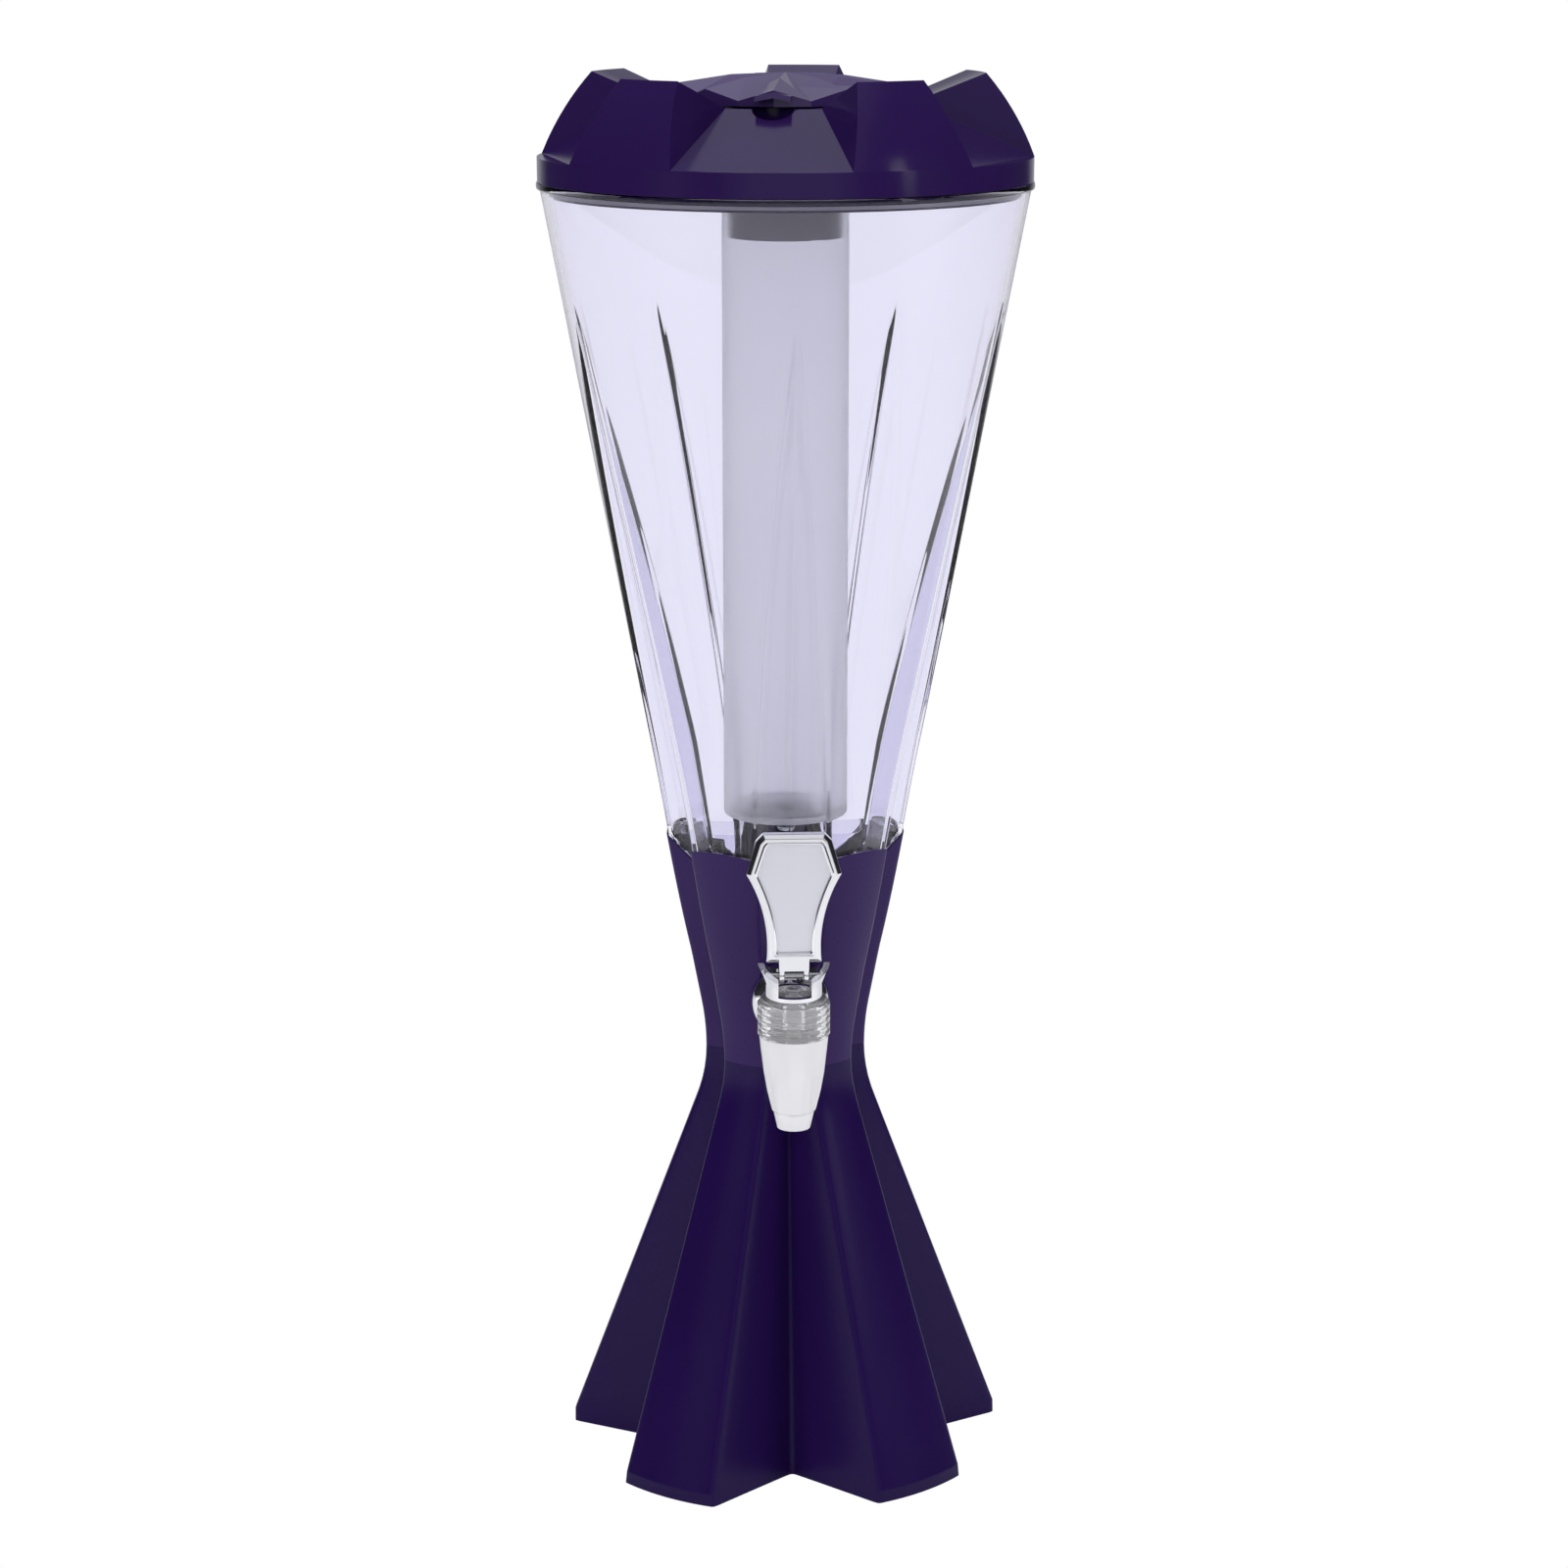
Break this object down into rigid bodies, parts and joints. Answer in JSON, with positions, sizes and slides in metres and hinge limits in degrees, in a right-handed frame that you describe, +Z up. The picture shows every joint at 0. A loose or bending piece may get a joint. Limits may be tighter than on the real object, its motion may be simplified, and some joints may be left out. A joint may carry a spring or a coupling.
{
  "type": "beer tower dispenser",
  "caption": "Tall drink tower with a clear grooved jar on a star-shaped pedestal, an ice tube, a faceted lid with a flap, and a paddle tap.",
  "frame": {"origin": "centre of the foot's resting plane, on the tower's axis", "axes": "+Z up along the tower's axis, -Y towards the tap, +X to the right seen from the tap's side"},
  "size_m": [0.1912, 0.1912, 0.5519],
  "materials": {
    "violet_gloss": "glossy",
    "violet_satin": "satin",
    "clear_jar": "clear with a faint lavender tint",
    "frosted_tube": "clear, slightly misted",
    "clear_tap": "clear",
    "chrome": "mirror polished",
    "seal": "matte",
    "silicone": "translucent",
    "steel": "satin",
    "white_plastic": "matte"
  },
  "bodies": {
    "tower": {"pedestal": "violet_gloss", "collar": "violet_satin", "waist_screws": "steel", "jar": "clear_jar", "tap_body": "clear_tap", "tap_bonnet": "clear_tap", "tap_crown": "chrome", "handle_pin": "steel", "tap_escutcheon": "chrome", "outer_washer": "seal", "inner_washer": "seal", "shank_nut": "white_plastic"},
    "lid": {"lid_crown": "violet_gloss", "lid_liner": "violet_gloss", "lid_seal": "seal", "tube_seal": "seal", "flap_hinge_pin": "steel"},
    "tube": {"ice_tube": "frosted_tube"},
    "flap": {"star_flap": "violet_satin"},
    "handle": {"tap_handle": "chrome"},
    "stem": {"tap_stem": "clear_tap", "seat_plug": "silicone", "stem_boot": "silicone"}
  },
  "joints": [
    {"name": "lid_lift", "type": "slide", "parent": "tower", "child": "lid", "axis": [0, 0, 1], "range_m": [0, 0.26]},
    {"name": "tube_twist", "type": "hinge", "parent": "lid", "child": "tube", "pos_m": [0, 0, 0.497], "axis": [0, 0, 1], "range_deg": [0, 60]},
    {"name": "flap_hinge", "type": "hinge", "parent": "lid", "child": "flap", "pos_m": [0.00704, 0.04708, 0.5437], "axis": [-0.989, 0.1478, 0], "range_deg": [0, 100]},
    {"name": "handle_tip", "type": "hinge", "parent": "tower", "child": "handle", "pos_m": [0, -0.062, 0.2124], "axis": [1, 0, 0], "range_deg": [0, 30], "stiffness_Nm_per_rad": 0.3, "springref_deg": -20.05},
    {"name": "stem_lift", "type": "slide", "parent": "tower", "child": "stem", "axis": [0, 0, 1], "range_m": [0, 0.003]}
  ],
  "couplings": [
    {"joint": "stem_lift", "follows": "handle_tip", "m_per_rad": 0.0057}
  ]
}
